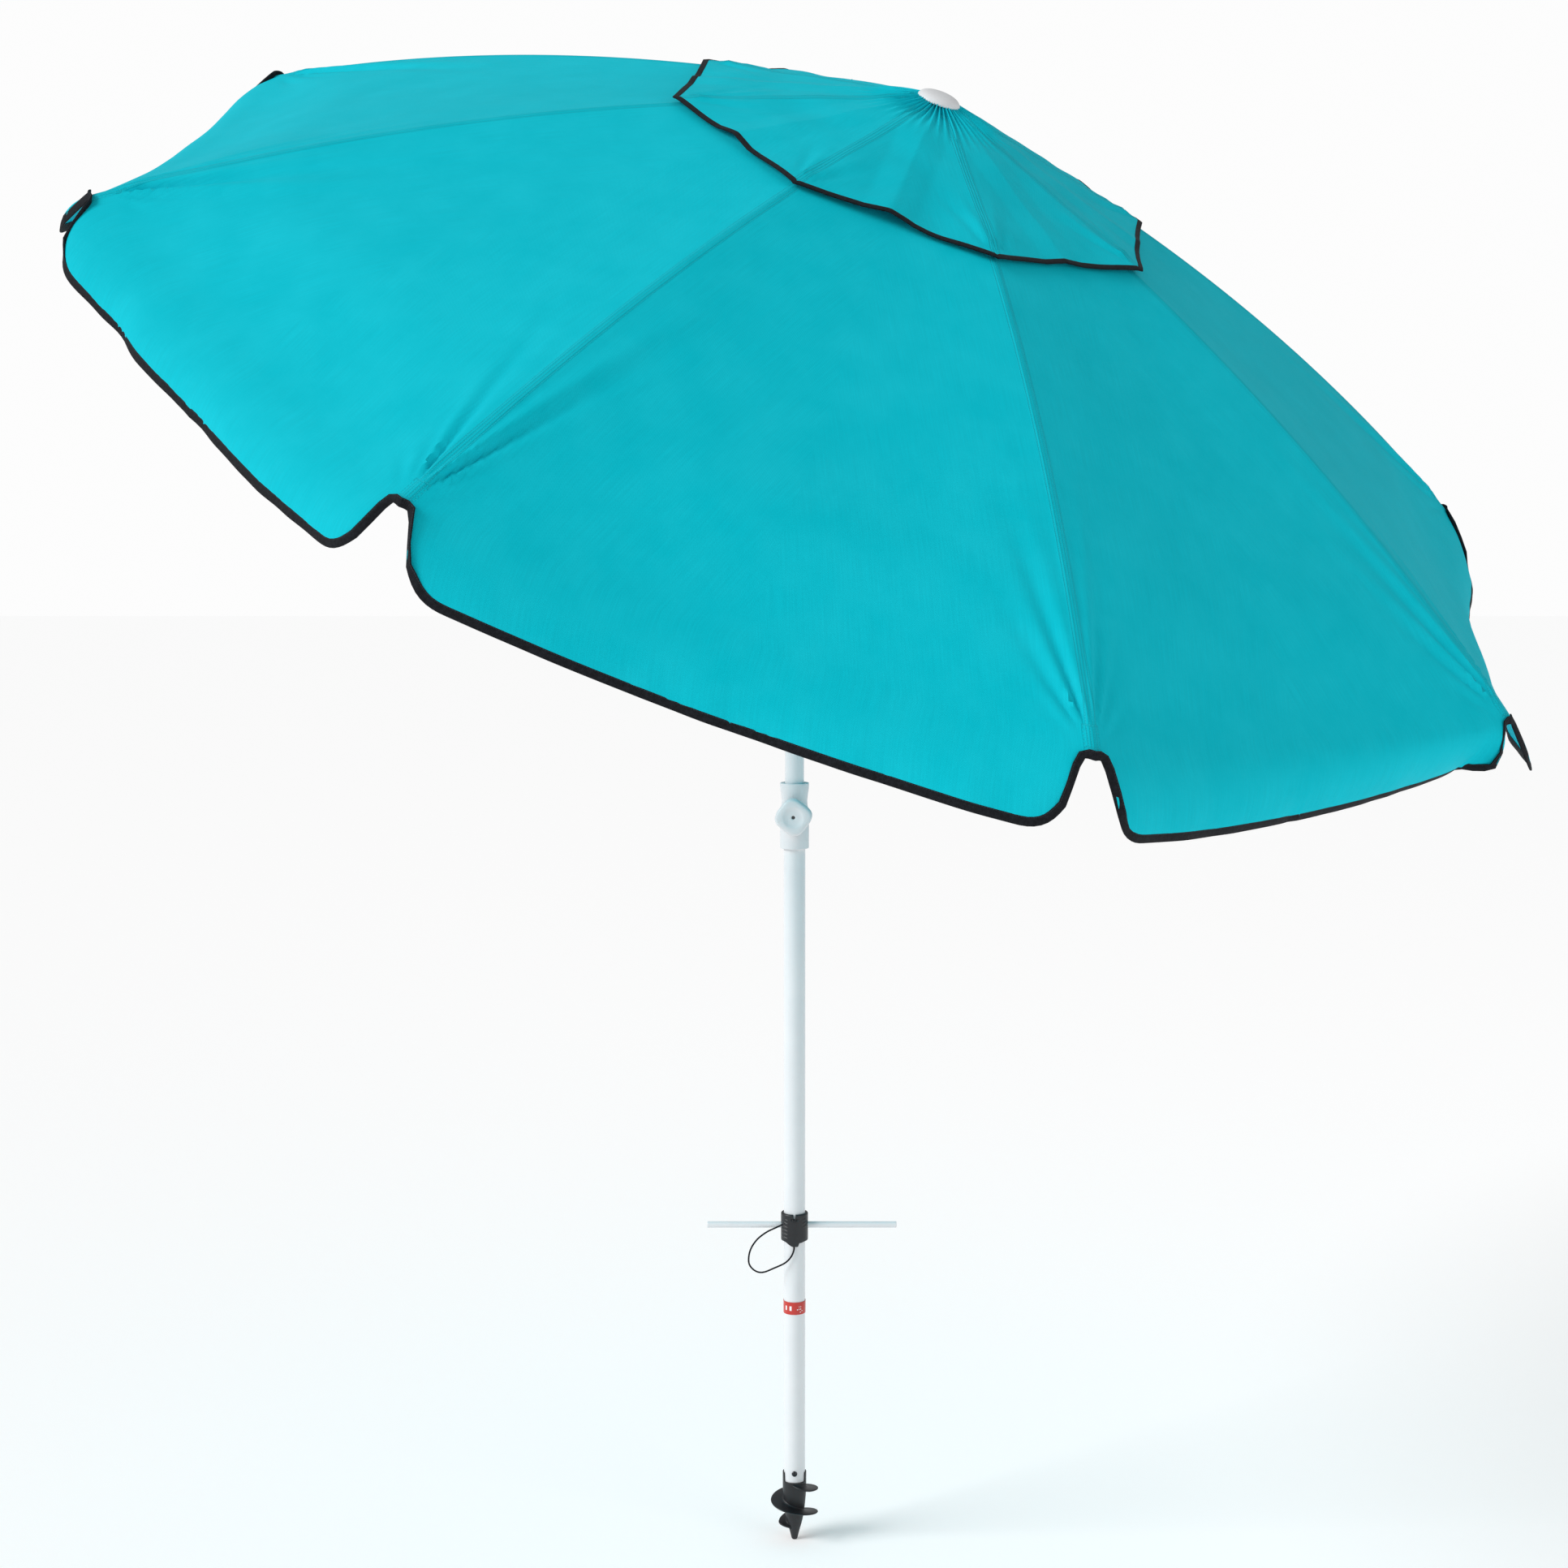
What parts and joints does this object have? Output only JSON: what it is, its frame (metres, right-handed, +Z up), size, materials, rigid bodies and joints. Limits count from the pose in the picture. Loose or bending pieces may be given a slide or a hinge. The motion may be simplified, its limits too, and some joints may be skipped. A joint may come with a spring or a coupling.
{
  "type": "beach umbrella",
  "caption": "Tilting beach umbrella with a vented panelled canopy, telescoping pole, cross handle and screw-in sand anchor.",
  "frame": {"origin": "blunt tip of the sand anchor, on the lower pole's axis", "axes": "+Z up along the lower pole; +X along the cross handle; the canopy leans towards +X and -Y"},
  "size_m": [2.0022, 1.9233, 2.2258],
  "materials": {
    "white_tube": "satin",
    "white_rib": "satin",
    "white_plastic": "satin",
    "black_plastic": "satin",
    "bare_steel": "satin",
    "brass": "satin",
    "red_print": "gloss",
    "elastic": "matte",
    "turquoise_cloth": "matte"
  },
  "bodies": {
    "lower_assembly": {"lower_pole": "white_tube", "sand_anchor": "black_plastic", "anchor_screw": "bare_steel", "depth_band": "red_print", "handle_holder": "black_plastic", "handle_cord": "elastic", "height_collar": "white_plastic", "clamp_nut": "brass"},
    "cross_handle": {"t_handle": "white_tube"},
    "knob": {"height_knob": "white_plastic", "knob_stud": "bare_steel"},
    "upper_assembly": {"upper_pole": "white_tube", "upper_pole_glide": "black_plastic", "tilt_lower_fitting": "white_plastic", "tilt_button_spring": "bare_steel"},
    "tilt_button": {"tilt_button": "black_plastic"},
    "canopy_mast": {"canopy_pole": "white_tube", "tilt_upper_fitting": "white_plastic", "tilt_pin": "bare_steel", "crown_hub": "white_plastic", "crown_wire": "bare_steel", "finial": "white_plastic", "vent_canopy": "turquoise_cloth"},
    "latch": {"runner_latch": "bare_steel"},
    "runner": {"runner": "white_plastic", "runner_wire": "bare_steel"},
    "rib_1": {"rib_1": "white_rib", "rib_rivet_1": "bare_steel", "canopy_gore_1": "turquoise_cloth"},
    "stretcher_1": {"stretcher_1": "white_tube"},
    "rib_2": {"rib_2": "white_rib", "rib_rivet_2": "bare_steel", "canopy_gore_2": "turquoise_cloth"},
    "stretcher_2": {"stretcher_2": "white_tube"},
    "rib_3": {"rib_3": "white_rib", "rib_rivet_3": "bare_steel", "canopy_gore_3": "turquoise_cloth"},
    "stretcher_3": {"stretcher_3": "white_tube"},
    "rib_4": {"rib_4": "white_rib", "rib_rivet_4": "bare_steel", "canopy_gore_4": "turquoise_cloth"},
    "stretcher_4": {"stretcher_4": "white_tube"},
    "rib_5": {"rib_5": "white_rib", "rib_rivet_5": "bare_steel", "canopy_gore_5": "turquoise_cloth"},
    "stretcher_5": {"stretcher_5": "white_tube"},
    "rib_6": {"rib_6": "white_rib", "rib_rivet_6": "bare_steel", "canopy_gore_6": "turquoise_cloth"},
    "stretcher_6": {"stretcher_6": "white_tube"},
    "rib_7": {"rib_7": "white_rib", "rib_rivet_7": "bare_steel", "canopy_gore_7": "turquoise_cloth"},
    "stretcher_7": {"stretcher_7": "white_tube"},
    "rib_8": {"rib_8": "white_rib", "rib_rivet_8": "bare_steel", "canopy_gore_8": "turquoise_cloth"},
    "stretcher_8": {"stretcher_8": "white_tube"}
  },
  "joints": [
    {"name": "handle_slide", "type": "slide", "parent": "lower_assembly", "child": "cross_handle", "axis": [1, 0, 0], "range_m": [-0.11, 0.09]},
    {"name": "knob_turn", "type": "hinge", "parent": "lower_assembly", "child": "knob", "pos_m": [0, 0, 1.11], "axis": [-0.0436, -0.999, 0], "range_deg": [0, 720]},
    {"name": "height_slide", "type": "slide", "parent": "lower_assembly", "child": "upper_assembly", "axis": [0, 0, 1], "range_m": [-0.36, 0]},
    {"name": "tilt_button_press", "type": "slide", "parent": "upper_assembly", "child": "tilt_button", "axis": [0.6756, -0.7373, 0], "range_m": [0, 0.003], "stiffness_N_per_m": 900, "springref_m": -0.002, "deforming": ["tilt_button_spring"]},
    {"name": "tilt", "type": "hinge", "parent": "upper_assembly", "child": "canopy_mast", "pos_m": [0, 0, 1.576], "axis": [-0.7373, -0.6756, 0], "range_deg": [0, 28.5]},
    {"name": "latch_press", "type": "hinge", "parent": "canopy_mast", "child": "latch", "pos_m": [0.12352, -0.1348, 1.9316], "axis": [0.7373, 0.6756, 0], "range_deg": [0, 7], "stiffness_Nm_per_rad": 1.5, "springref_deg": -5.73},
    {"name": "fold", "type": "hinge", "parent": "canopy_mast", "child": "rib_1", "pos_m": [0.17194, -0.21479, 2.09831], "axis": [0.2505, -0.8636, -0.4376], "range_deg": [0, 64.2], "deforming": ["canopy_gore_1", "canopy_gore_2", "canopy_gore_3", "canopy_gore_4", "canopy_gore_5", "canopy_gore_6", "canopy_gore_7", "canopy_gore_8", "vent_canopy", "runner_latch"]},
    {"name": "rib_2_fold", "type": "hinge", "parent": "canopy_mast", "child": "rib_2", "pos_m": [0.18083, -0.22488, 2.09101], "axis": [0.8226, -0.3552, -0.444], "range_deg": [0, 64.2]},
    {"name": "rib_3_fold", "type": "hinge", "parent": "canopy_mast", "child": "rib_3", "pos_m": [0.1952, -0.22483, 2.08575], "axis": [0.9129, 0.3612, -0.1903], "range_deg": [0, 64.2]},
    {"name": "rib_4_fold", "type": "hinge", "parent": "canopy_mast", "child": "rib_4", "pos_m": [0.20665, -0.21467, 2.08562], "axis": [0.4684, 0.866, 0.1749], "range_deg": [0, 64.2]},
    {"name": "rib_5_fold", "type": "hinge", "parent": "canopy_mast", "child": "rib_5", "pos_m": [0.20845, -0.20034, 2.0907], "axis": [-0.2505, 0.8636, 0.4376], "range_deg": [0, 64.2]},
    {"name": "rib_6_fold", "type": "hinge", "parent": "canopy_mast", "child": "rib_6", "pos_m": [0.19956, -0.19024, 2.098], "axis": [-0.8226, 0.3552, 0.444], "range_deg": [0, 64.2]},
    {"name": "rib_7_fold", "type": "hinge", "parent": "canopy_mast", "child": "rib_7", "pos_m": [0.18518, -0.19029, 2.10325], "axis": [-0.9129, -0.3612, 0.1903], "range_deg": [0, 64.2]},
    {"name": "rib_8_fold", "type": "hinge", "parent": "canopy_mast", "child": "rib_8", "pos_m": [0.17374, -0.20046, 2.10338], "axis": [-0.4684, -0.866, -0.1749], "range_deg": [0, 64.2]},
    {"name": "stretcher_1_swing", "type": "hinge", "parent": "rib_1", "child": "stretcher_1", "pos_m": [-0.06926, -0.27859, 2.08617], "axis": [0.2505, -0.8636, -0.4376], "range_deg": [-128.4, 0]},
    {"name": "stretcher_2_swing", "type": "hinge", "parent": "rib_2", "child": "stretcher_2", "pos_m": [0.04672, -0.41032, 1.99089], "axis": [0.8226, -0.3552, -0.444], "range_deg": [-128.4, 0]},
    {"name": "stretcher_3_swing", "type": "hinge", "parent": "rib_3", "child": "stretcher_3", "pos_m": [0.23428, -0.40968, 1.92235], "axis": [0.9129, 0.3612, -0.1903], "range_deg": [-128.4, 0]},
    {"name": "stretcher_4_swing", "type": "hinge", "parent": "rib_4", "child": "stretcher_4", "pos_m": [0.38356, -0.27704, 1.92068], "axis": [0.4684, 0.866, 0.1749], "range_deg": [-128.4, 0]},
    {"name": "stretcher_5_swing", "type": "hinge", "parent": "rib_5", "child": "stretcher_5", "pos_m": [0.40711, -0.09011, 1.98688], "axis": [-0.2505, 0.8636, 0.4376], "range_deg": [-128.4, 0]},
    {"name": "stretcher_6_swing", "type": "hinge", "parent": "rib_6", "child": "stretcher_6", "pos_m": [0.29113, 0.04162, 2.08215], "axis": [-0.8226, 0.3552, 0.444], "range_deg": [-128.4, 0]},
    {"name": "stretcher_7_swing", "type": "hinge", "parent": "rib_7", "child": "stretcher_7", "pos_m": [0.10357, 0.04097, 2.1507], "axis": [-0.9129, -0.3612, 0.1903], "range_deg": [-128.4, 0]},
    {"name": "stretcher_8_swing", "type": "hinge", "parent": "rib_8", "child": "stretcher_8", "pos_m": [-0.04571, -0.09166, 2.15236], "axis": [-0.4684, -0.866, -0.1749], "range_deg": [-128.4, 0]},
    {"name": "runner_travel", "type": "hinge", "parent": "stretcher_1", "child": "runner", "pos_m": [0.1294, -0.16836, 1.98235], "axis": [0.2505, -0.8636, -0.4376], "range_deg": [0, 64.2]}
  ],
  "couplings": [
    {"joint": "rib_2_fold", "follows": "fold", "ratio": 1},
    {"joint": "rib_3_fold", "follows": "fold", "ratio": 1},
    {"joint": "rib_4_fold", "follows": "fold", "ratio": 1},
    {"joint": "rib_5_fold", "follows": "fold", "ratio": 1},
    {"joint": "rib_6_fold", "follows": "fold", "ratio": 1},
    {"joint": "rib_7_fold", "follows": "fold", "ratio": 1},
    {"joint": "rib_8_fold", "follows": "fold", "ratio": 1},
    {"joint": "stretcher_1_swing", "follows": "fold", "ratio": -2},
    {"joint": "stretcher_2_swing", "follows": "fold", "ratio": -2},
    {"joint": "stretcher_3_swing", "follows": "fold", "ratio": -2},
    {"joint": "stretcher_4_swing", "follows": "fold", "ratio": -2},
    {"joint": "stretcher_5_swing", "follows": "fold", "ratio": -2},
    {"joint": "stretcher_6_swing", "follows": "fold", "ratio": -2},
    {"joint": "stretcher_7_swing", "follows": "fold", "ratio": -2},
    {"joint": "stretcher_8_swing", "follows": "fold", "ratio": -2},
    {"joint": "runner_travel", "follows": "fold", "ratio": 1}
  ]
}
